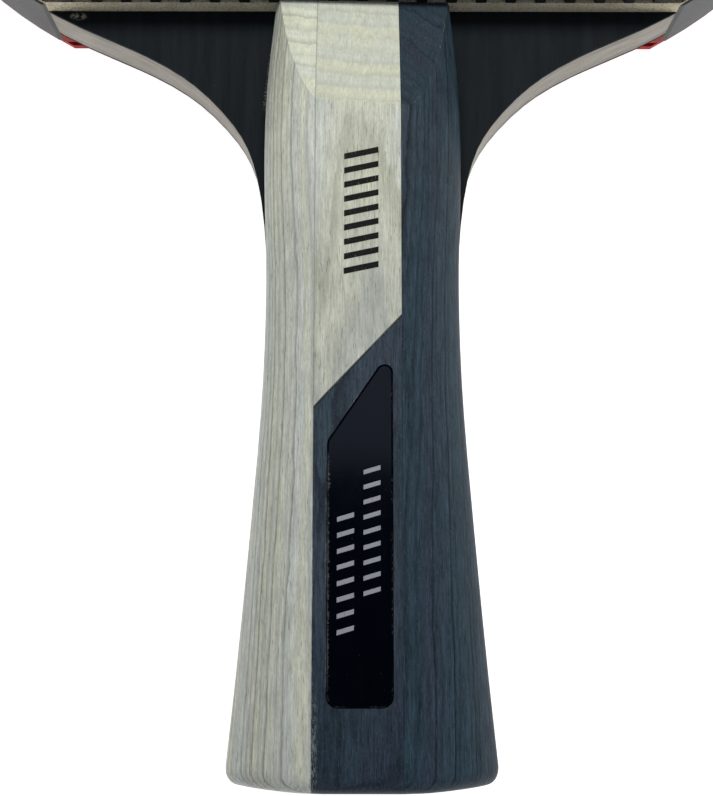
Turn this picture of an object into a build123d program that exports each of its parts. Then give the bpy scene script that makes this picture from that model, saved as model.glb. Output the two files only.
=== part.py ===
from build123d import *
import os
from math import atan2, cos, degrees, radians, sin, sqrt, tan

# A table tennis paddle with a flared handle: a five-ply wooden blade, four wood blocks glued to each
# side of its tongue as the handle, a badge let into the front of the handle, a sponge and a pimpled
# topsheet on each side of the head, and a tape round the head's edge.
#
# The paddle lies flat. +Z is the front (the side with the badge), +Y runs from the butt to the top of
# the head. Distances along the paddle ("y") start at the butt end, and the finished pieces are moved so
# that the origin is at the centre of the whole paddle. All sizes are millimetres.

# ---- driving dimensions -------------------------------------------------------------------------

# blade
HEAD_TOP_Y = 257.0
HEAD_HALF_WIDTH = 75.0
WIDEST_Y = 175.0
NECK_POINTS = [(12.6, 69), (13.45, 75.5), (15.45, 81.8), (18.5, 86.1), (23, 90.35), (30, 94.45)]
NECK_END = (37.5, 97.85)      # where the neck's hollow curve turns into the head's round one
NECK_SLOPE = 25.5             # degrees there, from straight across
LOWER_RADIUS = 62.0           # of the head, next to the neck
FACE_PLY = 0.4
MEDIAL_PLY = 1.0
CORE_PLY = 3.0
BLADE_HALF = CORE_PLY / 2 + MEDIAL_PLY + FACE_PLY

# handle
HANDLE_END_Y = 100.0
BUTT_HALF_WIDTH = 16.78
GRIP_POINTS = [(15.5, 12.7), (13.75, 32.7), (12.58, 49)]
WAIST_HALF_WIDTH = 12.29
WAIST_Y = 62.0
HANDLE_TOP_POINTS = [(12.5, 70), (12.72, 80), (12.45, 88.7)]
HANDLE_END_HALF_WIDTH = 11.4
SIDE_TAPER = (-0.1, 1)        # direction of the side at the butt and at the handle's end
HANDLE_HALF = 11.6            # from the blade's middle to the handle's flat
FLAT_CREASE = 4.0             # degrees between the shoulder and the flat where they meet
# the handle's rounded shoulder, at the butt and from the waist on: height of the upright side, width of
# the shoulder, and how long it keeps to the upright side and to the flat
BUTT_SHOULDER = (2.9, 12.5, 1.6, 6.5)
WAIST_SHOULDER = (4.0, 7.5, 2.0, 2.5)
BEVEL_START_Y = 83.15         # on the middle line
BEVEL_END_Z = 5.5
BEVEL_SKEW = 4.3              # degrees by which its lower edge drops towards the dark side
BUTT_ROUNDING = 2.2

# seams between the handle's blocks
LIGHT_SEAM_X = -5.87
DARK_SEAM_X = 4.66
SCARF_LIGHT_Y = 44.9          # height of the slanting joint at the light seam
SCARF_DARK_Y = 56.1           # and at the dark seam

# badge let into the front
BADGE_THICKNESS = 0.9
BADGE_GAP = 0.1
BADGE_EDGE = 0.15
BADGE_LEFT = -4.13
BADGE_RIGHT = 3.51
BADGE_BOTTOM_Y = 9.9
BADGE_SLANT_LOW_Y = 40.8      # where the slanting side leaves the left side
BADGE_SLANT = 34.1            # its angle to the handle's length, in degrees
BADGE_TIP_ROUNDING = 0.92     # where it meets the right side
BADGE_CORNER = 1.3

# rubber
RUBBER_EDGE_Y = 100.1
SPONGE = 2.1
PIP_HEIGHT = 1.0
SHEET = 0.8
PIP_DIAMETER = 1.5
PIP_PITCH = 2.24
FIRST_PIP_ROW = 0.35          # where the first row lies, in rows from the sheet's lower edge
PIP_BAND = 3.2                # width of the strip along the edge where single pips are modelled
PIP_TO_SLAB = 0.9             # least distance from a single pip's centre to the slab
PIP_OVERHANG = 0.45           # how far outside the edge a cut pip's centre may lie
BACK_SHEET_TRIM = 0.5         # how far the back topsheet stops short of the blade's edge

# edge tape
TAPE_THICKNESS = 0.3
TAPE_HALF_WIDTH = 4.5

CLEAR = 60.0                  # how far cutting shapes reach past the paddle
HANDLE_OVERRUN = 8.0          # how far the handle's section runs on before its end is cut square
TOLERANCE = 0.01              # for finding edges and corners by their place
CENTRE_Y = (HEAD_TOP_Y + TAPE_THICKNESS) / 2


# ---- outlines -----------------------------------------------------------------------------------

def grip_side():
    """The right side of the grip, from the butt to the waist, shared by the blade and the handle."""
    return Spline(
        [(BUTT_HALF_WIDTH, 0), *GRIP_POINTS, (WAIST_HALF_WIDTH, WAIST_Y)],
        tangents=[SIDE_TAPER, (0, 1)],
    )


def handle_top_side():
    """The right side of the handle from the waist to a little past its end on the neck."""
    handle_end = Vector(HANDLE_END_HALF_WIDTH, HANDLE_END_Y)
    past_end = handle_end + Vector(*SIDE_TAPER) * HANDLE_OVERRUN
    return Spline(
        [(WAIST_HALF_WIDTH, WAIST_Y), *HANDLE_TOP_POINTS, handle_end, past_end],
        tangents=[(0, 1), SIDE_TAPER],
    )


def neck_side():
    """The right side of the blade from the waist, out along the neck, to where its curve reverses."""
    return Spline(
        [(WAIST_HALF_WIDTH, WAIST_Y), *NECK_POINTS, NECK_END],
        tangents=[(0, 1), (cos(radians(NECK_SLOPE)), sin(radians(NECK_SLOPE)))],
    )


def head_side(distance=0):
    """The head's right side as three arcs that run into each other, moved outward by a distance."""
    slope = radians(NECK_SLOPE)
    lower = Vector(*NECK_END) + Vector(-sin(slope), cos(slope)) * LOWER_RADIUS
    # the side's arc has its centre level with the widest point and touches the lower arc from outside
    gap_x = HEAD_HALF_WIDTH - lower.X
    gap_y = WIDEST_Y - lower.Y
    side_radius = (gap_x ** 2 + gap_y ** 2 - LOWER_RADIUS ** 2) / (gap_x - LOWER_RADIUS) / 2
    side = Vector(HEAD_HALF_WIDTH - side_radius, WIDEST_Y)
    # the top's arc has its centre on the middle line and touches the side's arc from inside
    rise = HEAD_TOP_Y - WIDEST_Y
    top_radius = (side_radius ** 2 - side.X ** 2 - rise ** 2) / (side_radius - rise) / 2
    top = Vector(0, HEAD_TOP_Y - top_radius)
    start = NECK_SLOPE - 90
    lower_end = heading(side, lower)
    side_end = heading(side, top)
    return [
        CenterArc(lower, LOWER_RADIUS + distance, start, lower_end - start),
        CenterArc(side, side_radius + distance, lower_end, side_end - lower_end),
        CenterArc(top, top_radius + distance, side_end, 90 - side_end),
    ]


def heading(start, end):
    """The direction from one point to another, in degrees from +X."""
    return degrees(atan2(end.Y - start.Y, end.X - start.X))


def mirrored(curves):
    """Curves of the right side together with their twins on the left."""
    return curves + [mirror(curve, about=Plane.YZ) for curve in curves]


def blade_face():
    """The whole blade's outline, with the butt's two corners rounded."""
    butt = Line((0, 0), (BUTT_HALF_WIDTH, 0))
    face = make_face(mirrored([butt, grip_side(), neck_side(), *head_side()]))
    corners = [v for v in face.vertices() if v.Y < TOLERANCE and abs(v.X) > TOLERANCE]
    return fillet(corners, BUTT_ROUNDING)


def head_face(distance, low_y):
    """The head's outline moved out by a distance, and cut straight across at its lower edge."""
    arcs = head_side(distance)
    across = Line((0, (arcs[0] @ 0).Y), arcs[0] @ 0)
    face = make_face(mirrored([across, *arcs]))
    above = Pos(0, low_y + CLEAR * 2) * Rectangle(CLEAR * 4, CLEAR * 4)
    return (face & above).face()


# ---- blade and rubber ---------------------------------------------------------------------------

def layer(face, low, high):
    """A flat layer of the given outline between two heights."""
    return Pos(0, 0, low) * extrude(face, high - low)


def pip_layer(distance):
    """The pimples under a topsheet: single pips along its edge, and one slab for the rest."""
    face = head_face(distance, RUBBER_EDGE_Y)
    slab = head_face(distance - PIP_BAND, RUBBER_EDGE_Y + PIP_BAND)
    column_step = PIP_PITCH * sqrt(3) / 2
    row_step = PIP_PITCH / 2
    rows = int((HEAD_TOP_Y - RUBBER_EDGE_Y) / row_step)
    columns = int(HEAD_HALF_WIDTH / column_step)
    pips = []
    for row in range(rows + 1):
        y = RUBBER_EDGE_Y + row_step * (row + FIRST_PIP_ROW)
        for column in range(-columns, columns + 1):
            centre = Vector(column * column_step, y, 0)
            staggered = (row + column) % 2 == 0
            clear_of_slab = slab.distance_to(centre) > PIP_TO_SLAB
            if staggered and clear_of_slab and face.distance_to(centre) < PIP_OVERHANG:
                pips.append(Pos(centre) * Circle(PIP_DIAMETER / 2) & face)
    return [extrude(shape, PIP_HEIGHT) for shape in [slab, *pips]]


def topsheet(distance):
    """A pimpled sheet with its pips down, standing on the plane z = 0."""
    sheet = layer(head_face(distance, RUBBER_EDGE_Y), PIP_HEIGHT, PIP_HEIGHT + SHEET)
    return sheet + pip_layer(distance)


def edge_tape():
    """The tape round the head's edge, from one corner of the rubber to the other."""
    ring = head_face(TAPE_THICKNESS, RUBBER_EDGE_Y) - head_face(0, RUBBER_EDGE_Y)
    return layer(ring, -TAPE_HALF_WIDTH, TAPE_HALF_WIDTH)


# ---- handle -------------------------------------------------------------------------------------

def rail_section(path, place, shoulder):
    """The section across the rail at a place along its path, from 0 at the butt to 1."""
    wall_top, width, rise, run = shoulder
    slope = tan(radians(FLAT_CREASE))
    # in the section, x is the inset from the side and y is the height
    upright = Line((0, 0), (0, wall_top))
    curve = Bezier(
        (0, wall_top),
        (0, wall_top + rise),
        (width - run, HANDLE_HALF - run * slope),
        (width, HANDLE_HALF),
    )
    top = Line(curve @ 1, (CLEAR, HANDLE_HALF + (CLEAR - width) * slope))
    end = Line(top @ 1, (CLEAR, 0))
    base = Line((CLEAR, 0), (0, 0))
    along = path % place
    inward = Vector(0, 0, 1).cross(along)
    plane = Plane(origin=path @ place, x_dir=inward, z_dir=along)
    return plane * make_face([upright, curve, top, end, base])


def rail():
    """Everything inside the right side of the handle: upright side, shoulder, and a rising top."""
    grip = grip_side()
    path = Wire([grip, handle_top_side()])
    waist = grip.length / path.length
    sections = [
        rail_section(path, 0, BUTT_SHOULDER),
        rail_section(path, waist, WAIST_SHOULDER),
        rail_section(path, 1, WAIST_SHOULDER),
    ]
    return sweep(sections, path=path, multisection=True)


def front_half():
    """The front half of the handle, as one body before it is parted into its blocks."""
    side = rail()
    depth = HANDLE_HALF - BLADE_HALF
    block = Pos(0, HANDLE_END_Y / 2, BLADE_HALF + depth / 2) * Box(CLEAR, HANDLE_END_Y, depth)
    half = side & mirror(side, about=Plane.YZ) & block
    base_z = BLADE_HALF + TOLERANCE
    butt_edges = [e for e in half.edges() if abs(e.center().Y) < TOLERANCE and e.center().Z > base_z]
    half = fillet(butt_edges, BUTT_ROUNDING)
    return half - above_bevel()


def above_bevel():
    """The space above the bevel at the handle's top end, which lies a little askew."""
    fall = (HANDLE_HALF - BEVEL_END_Z) / (HANDLE_END_Y - BEVEL_START_Y)
    length = HANDLE_END_Y + HANDLE_OVERRUN - BEVEL_START_Y
    side = Plane.YZ * make_face(Polyline(
        (0, HANDLE_HALF), (length, HANDLE_HALF - length * fall), (length, HANDLE_HALF + CLEAR),
        (0, HANDLE_HALF + CLEAR), close=True))
    return Pos(0, BEVEL_START_Y) * Rot(0, 0, -BEVEL_SKEW) * extrude(side, CLEAR, both=True)


def badge_face():
    """The badge's outline: a long plate whose slanting left side runs up into a rounded tip."""
    tip_y = BADGE_SLANT_LOW_Y + (BADGE_RIGHT - BADGE_LEFT) / tan(radians(BADGE_SLANT))
    face = make_face(Polyline(
        (BADGE_LEFT, BADGE_BOTTOM_Y), (BADGE_RIGHT, BADGE_BOTTOM_Y), (BADGE_RIGHT, tip_y),
        (BADGE_LEFT, BADGE_SLANT_LOW_Y), close=True))
    face = fillet(face.vertices().sort_by(Axis.Y)[-1], BADGE_TIP_ROUNDING)
    return fillet(face.vertices().sort_by(Axis.Y)[:3], BADGE_CORNER)


def badge():
    """The badge, level with the handle's flat, with its upper edge broken."""
    plate = layer(badge_face(), HANDLE_HALF - BADGE_THICKNESS, HANDLE_HALF)
    return chamfer(plate.faces().sort_by(Axis.Z)[-1].edges(), BADGE_EDGE)


def part_into_blocks(half):
    """The four blocks of one half of the handle, by name."""
    low = -CLEAR
    high = HANDLE_END_Y + CLEAR
    plans = {
        "light_side_block": [(-CLEAR, low), (LIGHT_SEAM_X, low), (LIGHT_SEAM_X, high), (-CLEAR, high)],
        "light_centre_block": [(LIGHT_SEAM_X, SCARF_LIGHT_Y), (DARK_SEAM_X, SCARF_DARK_Y),
                               (DARK_SEAM_X, high), (LIGHT_SEAM_X, high)],
        "dark_centre_block": [(LIGHT_SEAM_X, low), (DARK_SEAM_X, low), (DARK_SEAM_X, SCARF_DARK_Y),
                              (LIGHT_SEAM_X, SCARF_LIGHT_Y)],
        "dark_side_block": [(DARK_SEAM_X, low), (CLEAR, low), (CLEAR, high), (DARK_SEAM_X, high)],
    }
    return {
        name: half & extrude(make_face(Polyline(*plan, close=True)), CLEAR)
        for name, plan in plans.items()
    }


# ---- the pieces ---------------------------------------------------------------------------------

def make_pieces():
    """Every piece of the paddle, by node name, with y still measured from the butt."""
    blade = blade_face()
    rubber = head_face(0, RUBBER_EDGE_Y)
    core_top = CORE_PLY / 2
    medial_top = core_top + MEDIAL_PLY
    sponge_top = BLADE_HALF + SPONGE
    pieces = {
        "core_ply": layer(blade, -core_top, core_top),
        "front_medial_ply": layer(blade, core_top, medial_top),
        "back_medial_ply": layer(blade, -medial_top, -core_top),
        "front_face_ply": layer(blade, medial_top, BLADE_HALF),
        "back_face_ply": layer(blade, -BLADE_HALF, -medial_top),
        "front_sponge": layer(rubber, BLADE_HALF, sponge_top),
        "back_sponge": layer(rubber, -sponge_top, -BLADE_HALF),
        "front_topsheet": Pos(0, 0, sponge_top) * topsheet(0),
        "back_topsheet": Rot(0, 180, 0) * Pos(0, 0, sponge_top) * topsheet(-BACK_SHEET_TRIM),
        "edge_tape": edge_tape(),
        "handle_badge": badge(),
    }
    recess = layer(offset(badge_face(), BADGE_GAP), HANDLE_HALF - BADGE_THICKNESS, HANDLE_HALF + CLEAR)
    for name, block in part_into_blocks(front_half()).items():
        pieces["back_" + name] = Rot(0, 180, 0) * block
        pieces["front_" + name] = block - recess if name == "dark_centre_block" else block
    return pieces


os.makedirs("parts", exist_ok=True)
for node, piece in make_pieces().items():
    export_step(Pos(0, -CENTRE_Y, 0) * piece, f"parts/{node}.step")
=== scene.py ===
import math

import bmesh
import bpy
from mathutils import Matrix, Vector


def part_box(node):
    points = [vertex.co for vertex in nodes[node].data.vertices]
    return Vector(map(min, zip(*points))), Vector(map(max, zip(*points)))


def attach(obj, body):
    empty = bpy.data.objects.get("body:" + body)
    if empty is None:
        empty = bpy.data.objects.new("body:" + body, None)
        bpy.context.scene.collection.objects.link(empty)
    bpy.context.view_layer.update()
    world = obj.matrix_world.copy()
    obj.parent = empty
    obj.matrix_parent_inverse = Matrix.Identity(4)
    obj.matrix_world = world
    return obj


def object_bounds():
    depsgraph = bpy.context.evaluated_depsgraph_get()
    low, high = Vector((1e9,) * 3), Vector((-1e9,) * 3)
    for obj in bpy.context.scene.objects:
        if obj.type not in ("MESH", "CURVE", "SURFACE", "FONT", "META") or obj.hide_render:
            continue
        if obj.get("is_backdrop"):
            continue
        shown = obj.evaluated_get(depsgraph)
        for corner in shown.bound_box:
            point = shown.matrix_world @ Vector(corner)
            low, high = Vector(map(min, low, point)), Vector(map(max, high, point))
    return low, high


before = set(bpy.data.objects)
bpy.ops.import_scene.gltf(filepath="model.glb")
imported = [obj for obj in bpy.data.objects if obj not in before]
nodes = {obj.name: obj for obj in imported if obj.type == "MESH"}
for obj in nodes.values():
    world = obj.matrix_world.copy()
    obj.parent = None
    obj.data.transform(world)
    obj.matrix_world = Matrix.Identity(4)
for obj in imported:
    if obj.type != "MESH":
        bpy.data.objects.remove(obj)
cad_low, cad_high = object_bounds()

MM = 0.001

# ---------------------------------------------------------------- camera and studio

CAMERA_PLACE = (-0.00073, -0.10838, 0.13972)
CAMERA_PITCH = math.radians(7.6)
CAMERA_ROLL = math.radians(0.09)
CAMERA_LENS = 49.66
SENSOR_WIDTH = 36
FRAME_HEIGHT = 796
CAMERA_SHIFT_Y = 72 / FRAME_HEIGHT
CLIP_START = 0.01
CLIP_END = 20

# brightness of the studio's walls by height, from level to straight up, and how far its dark patch
# overhead leans from the vertical towards the butt
WALL_TONES = ((0.0, 0.25), (0.70, 0.24), (0.9600, 0.24), (0.9632, 0.012), (1.0, 0.002))
WALL_TINT = (0.95, 1.0, 1.14)
DARK_PATCH_LEAN = math.radians(8)
# name, place, aimed at, width, height, watts
SOFT_LIGHTS = (
    ("head_softbox", (0.00, 0.19, 0.34), (0, -0.03, 0), 0.44, 0.16, 1.12),
    ("right_softbox", (0.30, 0.13, 0.27), (0, -0.06, 0), 0.20, 0.30, 0.40),
    ("left_softbox", (-0.30, 0.15, 0.27), (0, -0.06, 0), 0.20, 0.30, 0.13),
    ("butt_softbox", (0.05, -0.50, 0.32), (0, -0.06, 0), 0.50, 0.30, 0.08),
)


def make_camera():
    """The camera that looks down on the handle from just above the butt."""
    data = bpy.data.cameras.new("camera")
    data.lens = CAMERA_LENS
    data.sensor_width = SENSOR_WIDTH
    data.shift_y = CAMERA_SHIFT_Y
    data.clip_start = CLIP_START
    data.clip_end = CLIP_END
    camera = bpy.data.objects.new("camera", data)
    turn = Matrix.Rotation(CAMERA_PITCH, 4, "X") @ Matrix.Rotation(CAMERA_ROLL, 4, "Z")
    camera.matrix_world = Matrix.Translation(CAMERA_PLACE) @ turn
    bpy.context.scene.collection.objects.link(camera)
    bpy.context.scene.camera = camera


def make_lights():
    """Four soft boxes round the paddle."""
    for name, place, aim, width, height, watts in SOFT_LIGHTS:
        data = bpy.data.lights.new(name, "AREA")
        data.shape = "RECTANGLE"
        data.size = width
        data.size_y = height
        data.energy = watts
        lamp = bpy.data.objects.new(name, data)
        lamp.location = place
        lamp.rotation_euler = (Vector(aim) - Vector(place)).to_track_quat("-Z", "Y").to_euler()
        lamp.visible_camera = False
        bpy.context.scene.collection.objects.link(lamp)


def make_walls():
    """Dim, slightly cool walls with a dark patch overhead, which the badge mirrors."""
    world = bpy.data.worlds.new("studio")
    world.use_nodes = True
    tree = world.node_tree
    direction = tree.nodes.new("ShaderNodeTexCoord")
    lean = tree.nodes.new("ShaderNodeMapping")
    lean.inputs["Rotation"].default_value = (-DARK_PATCH_LEAN, 0, 0)
    height = tree.nodes.new("ShaderNodeSeparateXYZ")
    tone = tree.nodes.new("ShaderNodeValToRGB")
    tinted = [(place, (*(level * part for part in WALL_TINT), 1)) for place, level in WALL_TONES]
    fill_ramp(tone.color_ramp, tinted)
    tree.links.new(direction.outputs["Generated"], lean.inputs["Vector"])
    tree.links.new(lean.outputs["Vector"], height.inputs["Vector"])
    tree.links.new(height.outputs["Z"], tone.inputs["Fac"])
    tree.links.new(tone.outputs["Color"], tree.nodes["Background"].inputs["Color"])
    bpy.context.scene.world = world
    bpy.context.scene.view_settings.view_transform = "Standard"


# ---------------------------------------------------------------- short calls for node trees


def srgb(red, green, blue):
    """A display colour, 0 to 255, as the linear colour that a shader takes."""
    def linear(level):
        level /= 255
        return level / 12.92 if level <= 0.04045 else ((level + 0.055) / 1.055) ** 2.4
    return (linear(red), linear(green), linear(blue), 1.0)


def fill_ramp(ramp, stops):
    """Sets a colour ramp from pairs of position and grey level or colour."""
    while len(ramp.elements) < len(stops):
        ramp.elements.new(0.5)
    for element, (place, level) in zip(ramp.elements, stops):
        element.position = place
        element.color = level if isinstance(level, tuple) else (level, level, level, 1)


class Look:
    """A material under construction. Lengths are millimetres in the paddle's own frame."""

    def __init__(self, name):
        self.material = bpy.data.materials.new(name)
        self.material.use_nodes = True
        self.tree = self.material.node_tree
        self.shader = self.tree.nodes["Principled BSDF"]
        self.mm = self.stretch(self.add("TexCoord").outputs["Object"], (1 / MM, 1 / MM, 1 / MM))
        self.x, self.y, self.z = self.add("SeparateXYZ", {0: self.mm}).outputs

    def set(self, socket, value):
        if isinstance(value, bpy.types.NodeSocket):
            self.tree.links.new(value, socket)
        else:
            socket.default_value = value

    def add(self, kind, inputs=None, **settings):
        node = self.tree.nodes.new("ShaderNode" + kind)
        for key, value in settings.items():
            setattr(node, key, value)
        for key, value in (inputs or {}).items():
            self.set(node.inputs[key], value)
        return node

    def math(self, operation, *values):
        return self.add("Math", dict(enumerate(values)), operation=operation).outputs[0]

    def plus(self, *values):
        total = values[0]
        for value in values[1:]:
            total = self.math("ADD", total, value)
        return total

    def times(self, *values):
        product = values[0]
        for value in values[1:]:
            product = self.math("MULTIPLY", product, value)
        return product

    def gap(self, value, place):
        """How far a value is from a place, to either side."""
        return self.math("ABSOLUTE", self.math("SUBTRACT", value, place))

    def stretch(self, vector, scale, shift=(0, 0, 0)):
        return self.add("Mapping", {"Vector": vector, "Scale": scale, "Location": shift}).outputs[0]

    def noise(self, cells, detail, roughness, vector=None):
        """Grey noise about 0.5, with the same number of cells per millimetre every way."""
        place = self.mm if vector is None else vector
        inputs = {"Vector": place, "Scale": cells, "Detail": detail, "Roughness": roughness}
        return self.add("TexNoise", inputs).outputs[0]

    def grain(self, cells, detail, roughness, shift=(0, 0, 0)):
        """Grey noise with its own number of cells per millimetre along x, y and z."""
        return self.noise(1, detail, roughness, self.stretch(self.mm, cells, shift))

    def chance(self, number):
        """A random value, 0 to 1, that is the same wherever the number is."""
        return self.add("TexWhiteNoise", {"W": number}, noise_dimensions="1D").outputs[0]

    def fade(self, value, start, end):
        """0 at start, 1 at end, and smooth between."""
        inputs = {"Value": value, "From Min": start, "From Max": end}
        return self.add("MapRange", inputs, interpolation_type="SMOOTHSTEP").outputs[0]

    def between(self, value, low, high):
        """A 0 to 1 value spread over low to high."""
        return self.plus(self.times(value, high - low), low)

    def curve(self, value, stops):
        """A value passed through a ramp of position and grey level."""
        node = self.add("ValToRGB", {0: value})
        fill_ramp(node.color_ramp, stops)
        return node.outputs[0]

    def blend(self, amount, first, second, kind="MIX"):
        node = self.add("Mix", data_type="RGBA", blend_type=kind)
        self.set(node.inputs[0], amount)
        self.set(node.inputs[6], first)
        self.set(node.inputs[7], second)
        return node.outputs[2]

    def shade(self, colour, factor, amount=None):
        """A colour multiplied by a factor, all over or by a varying amount."""
        shaded = self.blend(1.0, colour, factor, "MULTIPLY")
        return shaded if amount is None else self.blend(amount, colour, shaded)

    def bump(self, height, distance, strength):
        """A bump whose full height is the distance, in millimetres."""
        inputs = {"Height": height, "Distance": distance * MM, "Strength": strength}
        return self.add("Bump", inputs).outputs[0]

    def finish(self, **sockets):
        """Fills the shader's own sockets, with a space for each underscore in a name."""
        for name, value in sockets.items():
            self.set(self.shader.inputs[name.replace("_", " ")], value)
        return self.material


def dress(names, material):
    """Gives CAD nodes their finished material."""
    for name in names:
        for place in nodes[name].material_slots:
            place.link = "OBJECT"
            place.material = material


# ---------------------------------------------------------------- handle wood

BUTT_Y = cad_low.y / MM
centre_low, centre_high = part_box("front_light_centre_block")
lower_low, lower_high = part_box("front_dark_centre_block")
LIGHT_SEAM = centre_low.x / MM
DARK_SEAM = centre_high.x / MM
JOINT_X = lower_low.x / MM
SCARF_LOW_Y = centre_low.y / MM
SCARF_SLOPE = (lower_high.y / MM - SCARF_LOW_Y) / (DARK_SEAM - LIGHT_SEAM)

# growth layers: their thickness, how dark they are from one boundary to the next, and the waves in them
RING_STEP = 0.68
LATE_WOOD = ((0, 0.6), (0.12, 0.25), (0.30, 0.0), (0.55, 0.1), (0.80, 0.6), (0.92, 0.9), (1.0, 0.6))
FAINT_LINE = ((0.20, 0.0), (0.34, 0.5), (0.46, 0.0))
SLOW_WAVE = ((0.11, 0.024, 0.16), 2, 0.5)
RIPPLE = ((0.6, 0.18, 0.6), 3, 0.6)
RIPPLE_HEIGHT = 0.46
# the wood's own texture, and the painted glints on it: cells per millimetre across, along and through the
# block, detail, roughness
FIBRE = ((5.5, 0.30, 3.0), 4, 0.75)
STRAND = ((2.2, 0.07, 1.6), 3, 0.65)
HAIR = ((9.0, 1.6, 2.4), 2, 0.7)
PORE = ((7.0, 0.6, 2.4), 1, 0.5)
# painted glints: pale streaks that stand in for highlights on the varnish
PAINTED_GLINT = ((7.5, 0.35, 2.2), 3, 0.7)
STAIN = ((0.30, 0.045, 0.30), 3, 0.6)
CLOUD = ((1.1, 0.24, 1.1), 3, 0.6)
# painted glints again, as small pale flecks on the dark wood
GLINT_FLECK = ((6.0, 3.2, 6.0), 2, 0.7)
# the surface's slope towards the head, from the flat's to the bevel's
BEVEL_SLOPE = (0.15, 0.25)
# distances from the butt over which painted shade darkens the wood, for the light falling off towards the
# butt: from none to full
FALLOFF_SHADE_SPAN = (90.0, 66.0)
FALLOFF_RAGGED = 14.0
BUTT_SHADE = (13.0, 0.0)
# half widths of the glue lines, from their outer edge to full strength
SEAM_GLUE = (0.11, 0.03)
SCARF_GLUE = (0.26, 0.12)
# rubbed edges of the dark wood: rounding, and how far rubbing keeps from the seam with the side block
EDGE_RADIUS = 0.22
SEAM_CLEAR = (0.3, 0.6)
# the strip rubbed pale beside the light block: its width, and its distances from the butt
SCRAPE_WIDTH = (1.0, 0.15)
SCRAPE_ALONG = (15.0, 6.0)

LIGHT_WOOD = {
    "base": srgb(213, 214, 193),
    "warm": srgb(213, 213, 184),
    "cool": srgb(196, 202, 199),
    "line": srgb(108, 111, 90),
    "pore": srgb(100, 100, 84),
    # the colour of the painted glints, pale streaks standing in for highlights
    "painted_glint": srgb(226, 228, 218),
    "contrast": 2.4,
    "gloss": 0.30,
    "edge_wear": 0.0,
    # painted shade towards the butt, for the light falling off there
    "grip": (0.875, 0.88, 0.915, 1),
    "bevel_tint": (0.96, 0.965, 0.945, 1),
}
DARK_WOOD = {
    "base": srgb(51, 66, 75),
    "warm": srgb(53, 58, 69),
    "cool": srgb(49, 69, 76),
    "line": srgb(12, 18, 27),
    "pore": srgb(12, 16, 24),
    # the colour of the painted glints, pale streaks standing in for highlights
    "painted_glint": srgb(84, 98, 108),
    "contrast": 4.6,
    "gloss": 0.10,
    "edge_wear": 0.7,
    # only a cool tint towards the butt
    "grip": (0.96, 1.02, 1.06, 1),
    "bevel_tint": (0.80, 0.79, 0.80, 1),
}
SCARF_GLUE_COLOUR = srgb(34, 36, 32)
WORN_EDGE_COLOUR = srgb(150, 156, 154)
SCRAPE_COLOUR = srgb(140, 150, 146)
# tints from side to side of the light block, and from butt to scarf of the dark centre block: which
# way, where each tint ends, in millimetres from the middle or the butt, and the two tints
# the light side block's tint is painted shade towards its outer edge, where the shoulder turns from the
# light, and lighter towards the seam
LIGHT_SIDE_SHADE_TINT = ("x", 12.2, 7.0, (0.94, 0.94, 0.95, 1), (1.11, 1.115, 1.13, 1))
DARK_CENTRE_TINT = ("y", 10.0, 22.0, (0.94, 0.87, 0.88, 1), (1.32, 1.08, 1.06, 1))


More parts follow.
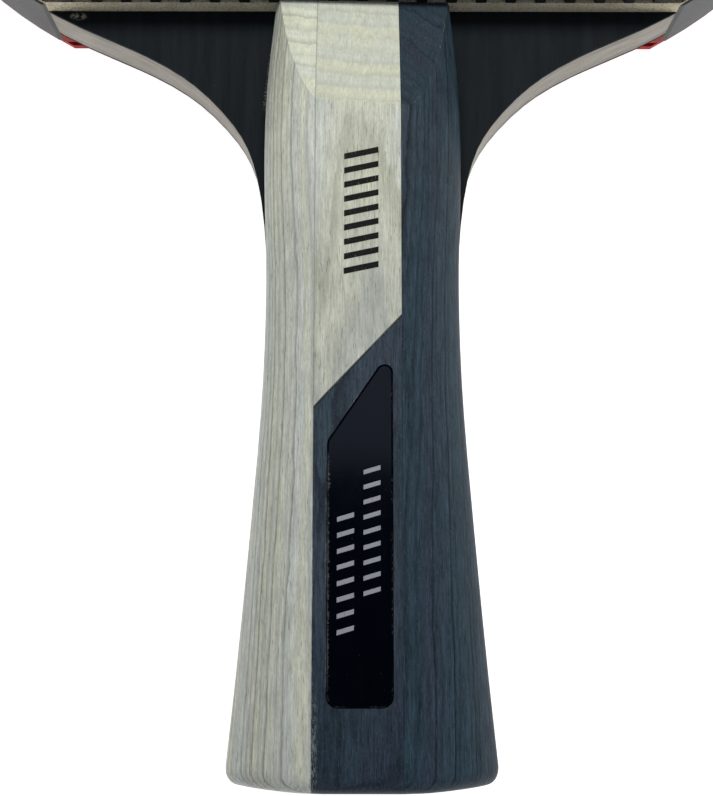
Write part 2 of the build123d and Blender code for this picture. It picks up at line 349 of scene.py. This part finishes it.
def handle_wood(name, colours, tilt, shift, line_strength, wave=1.7, bow=0.0,
                seams=(), scarf=False, tint=None):
    """Varnished handle wood: growth layers through the block, fibres and pores along it."""
    look = Look(name)
    # the back half is the front half turned round, so its blocks lie on the other sides
    turned_x = look.times(look.x, look.math("SIGN", look.z))
    normal = look.add("NewGeometry").outputs["Normal"]
    on_bevel = look.fade(look.add("SeparateXYZ", {0: normal}).outputs["Y"], *BEVEL_SLOPE)
    lengthwise = look.math("SUBTRACT", 1.0, on_bevel)
    # growth lines and grain soften where the bevel cuts across them
    soften = look.between(lengthwise, 0.55, 1.0)

    fibre = look.grain(*FIBRE, (shift, 0, 0))
    strand = look.grain(*STRAND, (0, shift, 0))
    hair = look.grain(*HAIR, (0, shift, 0))
    pores = look.fade(look.grain(*PORE, (0, 0, shift)), 0.62, 0.74)
    painted_glints = look.fade(look.grain(*PAINTED_GLINT, (0, 5, shift)), 0.56, 0.70)
    stain = look.grain(*STAIN, (shift, shift, 0))
    cloud = look.grain(*CLOUD, (shift, 0, 0))

    lift = look.plus(
        look.z,
        look.times(look.x, tilt[0]),
        look.times(look.y, tilt[1]),
        look.times(look.grain(*SLOW_WAVE, (shift, 0, 0)), wave),
        look.times(turned_x, turned_x, lengthwise, bow),
        look.times(look.grain(*RIPPLE, (0, shift, 0)), RIPPLE_HEIGHT),
        shift,
    )
    layer = look.times(lift, 1 / RING_STEP)
    within = look.math("FRACT", layer)
    number = look.math("FLOOR", layer)
    tone = look.chance(number)
    other = look.chance(look.plus(number, 0.37))
    late = look.times(look.curve(within, LATE_WOOD), look.between(tone, 0.15, 1.0))
    late = look.plus(late, look.times(look.curve(within, FAINT_LINE), other, 0.6))
    late = look.times(late, look.fade(fibre, 0.22, 0.55), soften, line_strength)

    family = look.add("TexNoise", {"W": lift, "Scale": 0.5, "Detail": 1.0}, noise_dimensions="1D")
    hue = look.plus(
        look.times(family.outputs[0], 0.55),
        look.times(stain, 0.25),
        look.times(other, 0.20),
    )
    colour = look.blend(look.fade(hue, 0.38, 0.62), colours["warm"], colours["cool"])
    colour = look.blend(look.between(tone, 0.30, 0.90), colour, colours["base"])
    colour = look.blend(late, colour, colours["line"])
    grain = look.plus(
        look.times(fibre, 0.56),
        look.times(strand, 0.20),
        look.times(hair, 0.22),
        look.times(look.plus(cloud, -0.5), 0.22),
        0.01,
    )
    contrast = look.times(look.plus(grain, -0.5), soften, colours["contrast"])
    colour = look.shade(colour, look.plus(contrast, 1.0))
    colour = look.blend(look.times(pores, look.between(lengthwise, 0.12, 0.48)), colour, colours["pore"])
    # painted glints: pale streaks standing in for highlights
    colour = look.blend(look.times(painted_glints, 0.40), colour, colours["painted_glint"])

    # painted shade towards the butt, for the light falling off there; on the dark wood only a cool tint
    ragged_y = look.plus(look.y, look.times(stain, FALLOFF_RAGGED))
    gripped = look.fade(ragged_y, BUTT_Y + FALLOFF_SHADE_SPAN[0], BUTT_Y + FALLOFF_SHADE_SPAN[1])
    colour = look.shade(colour, colours["grip"], gripped)
    # more of the same painted shade over the last few millimetres at the butt
    painted_butt_shade = look.times(look.fade(look.y, BUTT_Y + BUTT_SHADE[0], BUTT_Y + BUTT_SHADE[1]), 0.4)
    colour = look.shade(colour, colours["grip"], painted_butt_shade)
    # darker on the bevel, the faces that slope towards the head
    colour = look.shade(colour, colours["bevel_tint"], on_bevel)
    if tint is not None:
        axis, start, end, start_tint, end_tint = tint
        place = look.math("ABSOLUTE", turned_x) if axis == "x" else look.plus(look.y, -BUTT_Y)
        colour = look.shade(colour, look.blend(look.fade(place, start, end), start_tint, end_tint))

    for seam in seams:
        line = look.fade(look.gap(turned_x, seam), *SEAM_GLUE)
        broken = look.fade(hair, 0.25, 0.6)
        colour = look.blend(look.times(line, broken, 0.6), colour, colours["pore"])
    if scarf:
        rise = look.times(look.plus(turned_x, -LIGHT_SEAM), -SCARF_SLOPE)
        from_scarf = look.math("ABSOLUTE", look.plus(look.y, rise, -SCARF_LOW_Y))
        line = look.fade(from_scarf, *SCARF_GLUE)
        colour = look.blend(look.times(line, 0.9), colour, SCARF_GLUE_COLOUR)
    if colours["edge_wear"]:
        colour = rubbed_edges(look, colour, colours, turned_x, normal, hair, shift)

    height = look.plus(
        look.times(fibre, 0.6),
        look.times(hair, 0.3),
        look.times(pores, -0.5),
        look.times(late, -0.1),
    )
    return look.finish(
        Base_Color=colour,
        Roughness=look.plus(look.times(fibre, 0.30), look.times(late, -0.06), 0.34),
        Normal=look.bump(height, 0.045, 0.7),
        Specular_IOR_Level=colours["gloss"],
    )


def rubbed_edges(look, colour, colours, turned_x, normal, hair, shift):
    """The dark wood's wear, pale edges and a scraped strip beside the light block, and flecks of painted
    glint.
    """
    rounded = look.add("Bevel", {"Radius": EDGE_RADIUS * MM}, samples=4).outputs[0]
    turn = look.add("VectorMath", {0: rounded, 1: normal}, operation="DOT_PRODUCT").outputs["Value"]
    worn = look.times(
        look.fade(turn, 0.995, 0.94),
        look.fade(hair, 0.46, 0.62),
        look.fade(look.noise(0.16, 3, 0.6), 0.48, 0.60),
        colours["edge_wear"],
    )
    from_seam = look.fade(look.gap(turned_x, DARK_SEAM), *SEAM_CLEAR)
    colour = look.blend(look.times(worn, from_seam), colour, WORN_EDGE_COLOUR)
    # painted glints: pale flecks standing in for highlights
    glint_flecks = look.fade(look.grain(*GLINT_FLECK, (shift, 0, 0)), 0.60, 0.72)
    colour = look.blend(look.times(glint_flecks, 0.45), colour, colours["painted_glint"])
    beside = look.fade(look.plus(turned_x, -JOINT_X), *SCRAPE_WIDTH)
    along = look.fade(look.y, BUTT_Y + SCRAPE_ALONG[0], BUTT_Y + SCRAPE_ALONG[1])
    scrape = look.times(beside, along, look.fade(hair, 0.47, 0.60), 0.6)
    return look.blend(scrape, colour, SCRAPE_COLOUR)


# ---------------------------------------------------------------- the blade's plies

# crumbs of glue beside the handle's foot on the neck: the foot's place and lean, how far the crumbs
# reach from it, and the distances from the butt between which they lie
FOOT_X = -12.6
FOOT_Y = 88.4
FOOT_LEAN = 0.113
CRUMB_REACH = (0.5, 0.1)
CRUMBS_FROM = (85.5, 88.5)
CRUMBS_TO = (95.0, 93.5)
# a smear of glue on the left of the neck: its centre, and its half widths' inverses
SMEAR_X = -37.8
SMEAR_Y = -29.3
SMEAR_SHAPE = (0.75, 1.6)
DUST_COLOUR = srgb(118, 118, 112)
GLUE_COLOUR = srgb(150, 150, 140)


def ply_wood(name, base, streak, dark, along, shift):
    """Bare veneer seen on the blade's sanded edge, with its grain along one axis."""
    look = Look(name)
    cells = (7.0, 0.5, 7.0) if along == "y" else (0.5, 7.0, 7.0)
    fibre = look.grain(cells, 4, 0.7, (shift, 0, 0))
    patch = look.grain((0.25, 0.25, 0.9), 3, 0.6, (0, shift, 0))
    pores = look.fade(look.grain((9, 9, 9), 2, 0.6, (0, 0, shift)), 0.62, 0.72)
    layers = look.grain((0.15, 0.15, 3.2), 2, 0.5, (shift, shift, 0))
    colour = look.blend(look.fade(patch, 0.35, 0.65), base, streak)
    colour = look.blend(look.times(look.fade(layers, 0.52, 0.64), 0.3), colour, dark)
    colour = look.blend(look.times(pores, 0.6), colour, dark)
    colour = look.shade(colour, look.plus(look.times(fibre, 0.36), 0.79))
    return look.finish(
        Base_Color=colour,
        Roughness=look.between(fibre, 0.62, 0.86),
        Normal=look.bump(look.plus(fibre, look.times(pores, -0.8)), 0.05, 0.7),
    )


def glue_marks(look):
    """How much dried glue lies on the neck: crumbs beside the handle's foot, and one smear."""
    lean = look.times(look.plus(look.y, -BUTT_Y - FOOT_Y), -FOOT_LEAN)
    beside_foot = look.times(
        look.fade(look.math("ABSOLUTE", look.plus(look.x, lean, -FOOT_X)), *CRUMB_REACH),
        look.fade(look.y, BUTT_Y + CRUMBS_FROM[0], BUTT_Y + CRUMBS_FROM[1]),
        look.fade(look.y, BUTT_Y + CRUMBS_TO[0], BUTT_Y + CRUMBS_TO[1]),
    )
    crumbs = look.fade(look.noise(3.8, 3, 0.7), 0.50, 0.60)
    across = look.times(look.plus(look.x, -SMEAR_X), SMEAR_SHAPE[0])
    along = look.times(look.plus(look.y, -SMEAR_Y), SMEAR_SHAPE[1])
    smear = look.fade(look.plus(look.times(across, across), look.times(along, along)), 1.0, 0.2)
    blot = look.fade(look.noise(1.9, 3, 0.6), 0.44, 0.54)
    return look.math("MAXIMUM", look.times(beside_foot, crumbs, 0.75), look.times(smear, blot, 0.85))


def dyed_ply():
    """The outer ply, stained charcoal, with very fine lengthwise grain, dust and dried glue."""
    look = Look("dyed_face_ply")
    fine = look.grain((11.0, 0.28, 11.0), 4, 0.7)
    broad = look.grain((0.6, 0.04, 0.6), 3, 0.6, (7, 0, 0))
    open_grain = look.fade(look.grain((7.0, 0.22, 7.0), 2, 0.6, (0, 9, 0)), 0.60, 0.72)
    dust = look.fade(look.noise(3.4, 2, 0.7), 0.735, 0.80)
    glue = glue_marks(look)
    colour = look.blend(look.fade(broad, 0.3, 0.7), srgb(16, 22, 25), srgb(23, 30, 33))
    colour = look.shade(colour, look.plus(look.times(fine, 0.9), 0.55))
    colour = look.blend(look.times(open_grain, 0.6), colour, srgb(12, 13, 15))
    colour = look.blend(look.times(dust, 0.5), colour, DUST_COLOUR)
    colour = look.blend(glue, colour, GLUE_COLOUR)
    height = look.plus(look.times(fine, 0.7), look.times(open_grain, -0.7), look.times(dust, 0.5), glue)
    return look.finish(
        Base_Color=colour,
        Roughness=look.between(fine, 0.46, 0.72),
        Normal=look.bump(height, 0.03, 0.6),
        Specular_IOR_Level=0.08,
    )


# ---------------------------------------------------------------- rubber, sponge and tape

RUBBER_EDGE_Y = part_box("front_topsheet")[0].y / MM
PIP_ROW_STEP = 2.24
PIP_COLUMN_STEP = PIP_ROW_STEP * math.sqrt(3)
FIRST_PIP_Y = 0.392
PIP_EDGE = (0.95, 0.45)
# the tape runs round a middle point, about this far out; its weave's steps round and across the head
TAPE_CENTRE_Y = 40.0
TAPE_RADIUS = 75.0
WARP_STEP = 0.55
WEFT_STEP = 0.5


def pip_distance(look):
    """Distance in millimetres to the nearest pip's axis, in two staggered grids."""
    distances = []
    for offset in (0.0, 0.5):
        column = look.plus(look.times(look.x, 1 / PIP_COLUMN_STEP), offset)
        from_edge = look.plus(look.y, -RUBBER_EDGE_Y - FIRST_PIP_Y)
        row = look.plus(look.times(from_edge, 1 / PIP_ROW_STEP), offset)
        across = look.times(look.math("PINGPONG", column, 0.5), PIP_COLUMN_STEP)
        along = look.times(look.math("PINGPONG", row, 0.5), PIP_ROW_STEP)
        squares = look.plus(look.times(across, across), look.times(along, along))
        distances.append(look.math("SQRT", squares))
    return look.math("MINIMUM", *distances)


def rubber(name, base, worn, dust_colour):
    """A pimpled sheet's smooth, slightly grippy face with the pips just telling through."""
    look = Look(name)
    telling = look.fade(pip_distance(look), *PIP_EDGE)
    grain = look.noise(9.0, 3, 0.6)
    cloud = look.noise(0.05, 4, 0.6)
    prints = look.grain((0.12, 0.05, 0.12), 5, 0.7, (3, 5, 0))
    dust = look.fade(look.noise(2.2, 2, 0.7), 0.74, 0.80)
    colour = look.blend(look.fade(cloud, 0.35, 0.7), base, worn)
    colour = look.shade(colour, look.plus(look.times(grain, 0.4), 0.8))
    colour = look.blend(look.times(dust, 0.35), colour, dust_colour)
    height = look.plus(look.times(telling, 0.6), look.times(grain, 0.25), look.times(dust, 0.4))
    return look.finish(
        Base_Color=colour,
        Roughness=look.plus(look.times(prints, 0.30), look.times(grain, 0.1), 0.26),
        Normal=look.bump(height, 0.025, 0.5),
        Specular_IOR_Level=0.22,
    )


def sponge(name, base, shadow, pale):
    """Open-cell foam: packed round cells with pale walls, and painted shade in their dark mouths."""
    look = Look(name)
    wander = look.add("TexNoise", {"Vector": look.mm, "Scale": 2.0}).outputs[1]
    warped = look.blend(0.12, look.mm, wander, "ADD")
    cells = look.add("TexVoronoi", {"Vector": warped, "Scale": 3.2}, feature="F1").outputs[0]
    small = look.add("TexVoronoi", {"Vector": warped, "Scale": 7.5}, feature="F1").outputs[0]
    mouths = look.fade(cells, 0.42, 0.22)
    pits = look.fade(small, 0.40, 0.20)
    depth = look.math("MAXIMUM", mouths, look.times(pits, 0.6))
    patch = look.noise(0.3, 3, 0.6)
    colour = look.blend(look.fade(patch, 0.35, 0.65), base, pale)
    # painted shade in the cells' mouths and pits
    colour = look.blend(look.times(depth, 0.6), colour, shadow)
    return look.finish(
        Base_Color=colour,
        Roughness=look.between(patch, 0.8, 0.95),
        Normal=look.bump(look.times(depth, -1.0), 0.16, 0.8),
        Sheen_Weight=0.15,
        Sheen_Roughness=0.6,
    )


def woven_tape():
    """Grey cotton-backed edge tape: a fine plain weave with slubs and grubby patches."""
    look = Look("edge_tape_weave")
    around = look.math("ARCTAN2", look.x, look.plus(look.y, -TAPE_CENTRE_Y))
    warp = look.math("SINE", look.times(around, TAPE_RADIUS * math.tau / WARP_STEP))
    weft = look.math("SINE", look.times(look.z, math.tau / WEFT_STEP))
    weave = look.times(warp, weft)
    slub = look.grain((1.2, 1.2, 4.0), 3, 0.6)
    grime = look.noise(0.12, 4, 0.65)
    colour = look.blend(look.fade(grime, 0.35, 0.7), srgb(96, 95, 94), srgb(87, 86, 86))
    colour = look.shade(colour, look.plus(look.times(slub, 0.4), look.times(weave, 0.08), 0.78))
    height = look.plus(look.times(weave, 0.4), look.times(slub, 0.4))
    return look.finish(
        Base_Color=colour,
        Roughness=look.between(slub, 0.6, 0.8),
        Normal=look.bump(height, 0.04, 0.6),
        Sheen_Weight=0.1,
    )


# ---------------------------------------------------------------- badge and printed marks

SCUFF_RAGGED = 1.0
SCUFF_REACH = (0.72, 0.52)
RIGHT_RIM_SPARED = 0.15       # the right rim is less scuffed than the others by this width
FILM = 0.02
FILM_ROUNDING = 0.10
FILM_SHARP_EDGE = math.radians(30)


def badge_gloss():
    """Glossy navy plate with a scuffed rim, hairline scratches and specks of dust."""
    look = Look("badge_gloss_plate")
    low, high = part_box("handle_badge")
    left = look.math("SUBTRACT", look.x, low.x / MM)
    right = look.math("SUBTRACT", high.x / MM, look.x)
    bottom = look.math("SUBTRACT", look.y, low.y / MM)
    edge = look.math("MINIMUM", look.math("MINIMUM", left, look.plus(right, RIGHT_RIM_SPARED)), bottom)
    ragged = look.noise(2.6, 3, 0.7)
    scuff = look.fade(look.plus(edge, look.times(ragged, SCUFF_RAGGED)), *SCUFF_REACH)
    scuff = look.times(scuff, look.fade(look.noise(0.22, 2, 0.5), 0.40, 0.58))
    specks = look.fade(look.noise(4.2, 2, 0.6), 0.745, 0.79)
    haze = look.grain((0.35, 0.12, 0.35), 4, 0.65)
    hairline = look.fade(look.grain((0.5, 14.0, 1.0), 1, 0.5, (0, 3, 0)), 0.69, 0.72)
    colour = look.blend(look.fade(haze, 0.3, 0.7), srgb(1, 4, 12), srgb(3, 6, 14))
    colour = look.blend(look.times(scuff, 0.7), colour, srgb(108, 108, 110))
    colour = look.blend(look.times(specks, 0.5), colour, srgb(90, 92, 96))
    rough = look.plus(look.times(scuff, 0.3), look.times(haze, 0.12), look.times(hairline, 0.08), 0.03)
    height = look.plus(look.times(specks, 0.6), look.times(scuff, -0.5), look.times(ragged, 0.15))
    return look.finish(
        Base_Color=colour,
        Roughness=rough,
        Normal=look.bump(height, 0.01, 0.4),
        Specular_IOR_Level=0.74,
        Specular_Tint=(0.78, 0.86, 1.0, 1),
    )


def ink(name, base, worn, rough_low, rough_high, metal, gloss):
    """A thin printed film, worn through in tiny spots along the grain."""
    look = Look(name)
    wear = look.grain((5.0, 1.2, 5.0), 4, 0.7)
    fleck = look.fade(wear, 0.58, 0.70)
    return look.finish(
        Base_Color=look.blend(look.times(fleck, 0.6), base, worn),
        Roughness=look.between(wear, rough_low, rough_high),
        Normal=look.bump(wear, 0.01, 0.5),
        Metallic=metal,
        Specular_IOR_Level=gloss,
    )


def slanted_bars(name, low, high, count, fill, slant, top, material):
    """A row of slanted printed bars across a strip, each a thin film with rounded ends."""
    mesh = bpy.data.meshes.new(name)
    shape = bmesh.new()
    step = (high[1] - low[1] - slant) / count
    for index in range(count):
        start = low[1] + index * step
        corners = (
            (low[0], start),
            (high[0], start + slant),
            (high[0], start + slant + step * fill),
            (low[0], start + step * fill),
        )
        shape.faces.new([shape.verts.new((x * MM, y * MM, top * MM)) for x, y in corners])
    lifted = bmesh.ops.extrude_face_region(shape, geom=list(shape.faces))
    raised = [part for part in lifted["geom"] if isinstance(part, bmesh.types.BMVert)]
    bmesh.ops.translate(shape, verts=raised, vec=(0, 0, FILM * MM))
    bmesh.ops.recalc_face_normals(shape, faces=list(shape.faces))
    shape.to_mesh(mesh)
    shape.free()
    mesh.materials.append(material)
    piece = bpy.data.objects.new(name, mesh)
    bpy.context.scene.collection.objects.link(piece)
    rounding = piece.modifiers.new("rounding", "BEVEL")
    rounding.width = FILM_ROUNDING * MM
    rounding.segments = 3
    rounding.affect = "EDGES"
    rounding.limit_method = "ANGLE"
    rounding.angle_limit = FILM_SHARP_EDGE
    return piece


# ---------------------------------------------------------------- the floor

FLOOR_HALF = 3.0
FLOOR_CELLS = 8
FLOOR_GAP = 0.1
FLOOR_TONES = ((0.44, 0.44, 0.44, 1), (0.48, 0.48, 0.48, 1))
FLOOR_GLOW = 0.95


def make_floor():
    """A level, nearly white table that the handle rests on."""
    mesh = bpy.data.meshes.new("studio_floor")
    shape = bmesh.new()
    bmesh.ops.create_grid(shape, x_segments=FLOOR_CELLS, y_segments=FLOOR_CELLS, size=FLOOR_HALF)
    shape.to_mesh(mesh)
    shape.free()
    table = bpy.data.objects.new("studio_floor", mesh)
    table.location = (0, 0, cad_low.z - FLOOR_GAP * MM)
    bpy.context.scene.collection.objects.link(table)
    look = Look("studio_floor_paint")
    mottle = look.noise(0.02, 3, 0.5)
    mesh.materials.append(look.finish(
        Base_Color=look.blend(mottle, *FLOOR_TONES),
        Roughness=look.between(mottle, 0.75, 0.85),
        Specular_IOR_Level=0.2,
        Emission_Color=(1, 1, 1, 1),
        Emission_Strength=FLOOR_GLOW,
    ))
    table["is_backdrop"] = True


# ---------------------------------------------------------------- putting it together

make_camera()
make_lights()
make_walls()
make_floor()

# handle blocks: tilt of the growth layers to the side and along, the block's own shift in the noise,
# and how strong its growth lines are
dress(
    ["front_light_side_block", "back_light_side_block"],
    handle_wood("light_side_wood", LIGHT_WOOD, (0.01, 0.004), 3.1, 0.95,
                seams=(LIGHT_SEAM,), tint=LIGHT_SIDE_SHADE_TINT),
)
dress(
    ["front_light_centre_block", "back_light_centre_block"],
    handle_wood("light_centre_wood", LIGHT_WOOD, (0.0, 0.03), 11.7, 0.6,
                wave=0.7, bow=0.018, seams=(LIGHT_SEAM,), scarf=True),
)
dress(
    ["front_dark_centre_block", "back_dark_centre_block"],
    handle_wood("dark_centre_wood", DARK_WOOD, (-0.08, 0.02), 23.4, 0.9,
                scarf=True, tint=DARK_CENTRE_TINT),
)
dress(
    ["front_dark_side_block", "back_dark_side_block"],
    handle_wood("dark_side_wood", DARK_WOOD, (-0.25, 0.02), 37.9, 1.3, seams=(DARK_SEAM,)),
)
dress(
    ["core_ply"],
    ply_wood("core_ply_wood", srgb(182, 176, 164), srgb(170, 164, 152), srgb(132, 124, 108), "y", 2.0),
)
dress(
    ["front_medial_ply", "back_medial_ply"],
    ply_wood("medial_ply_wood", srgb(172, 167, 157), srgb(156, 151, 141), srgb(118, 111, 98), "x", 8.0),
)
dress(["front_face_ply", "back_face_ply"], dyed_ply())
dress(
    ["front_topsheet"],
    rubber("black_pimpled_rubber", srgb(24, 24, 25), srgb(36, 36, 37), srgb(120, 120, 116)),
)
dress(
    ["back_topsheet"],
    rubber("red_pimpled_rubber", srgb(170, 22, 24), srgb(186, 34, 32), srgb(200, 150, 140)),
)
dress(
    ["front_sponge"],
    sponge("cream_sponge_cells", srgb(214, 202, 168), srgb(140, 124, 92), srgb(226, 216, 186)),
)
dress(
    ["back_sponge"],
    sponge("red_sponge_cells", srgb(172, 40, 34), srgb(96, 14, 14), srgb(190, 58, 48)),
)
dress(["edge_tape"], woven_tape())
dress(["handle_badge"], badge_gloss())

FLAT_TOP = centre_high.z / MM
BADGE_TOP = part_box("handle_badge")[1].z / MM
dark_ink = ink("dark_print", srgb(20, 20, 18), srgb(120, 116, 100), 0.45, 0.7, 0.0, 0.10)
silver_ink = ink("silver_print", srgb(166, 168, 174), srgb(90, 92, 96), 0.3, 0.5, 0.3, 0.5)
# name, lowest and highest corner with y from the butt, bars, their share of a step, slant, height,
# material and slot
MARKS = (
    ("wood_print", (-2.3, 61.2), (1.9, 78.4), 9, 0.42, 0.9, FLAT_TOP, dark_ink, "light_wood"),
    ("badge_print_long", (0.1, 22.6), (2.1, 39.2), 9, 0.30, 0.6, BADGE_TOP, silver_ink, "badge_gloss"),
    ("badge_print_short", (-3.0, 18.1), (-1.0, 33.7), 8, 0.30, 0.6, BADGE_TOP, silver_ink, "badge_gloss"),
)
for name, low, high, count, fill, slant, top, material, slot in MARKS:
    start = (low[0], low[1] + BUTT_Y)
    end = (high[0], high[1] + BUTT_Y)
    bars = slanted_bars(name, start, end, count, fill, slant, top, material)
    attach(bars, "root")

bpy.context.view_layer.update()
low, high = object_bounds()
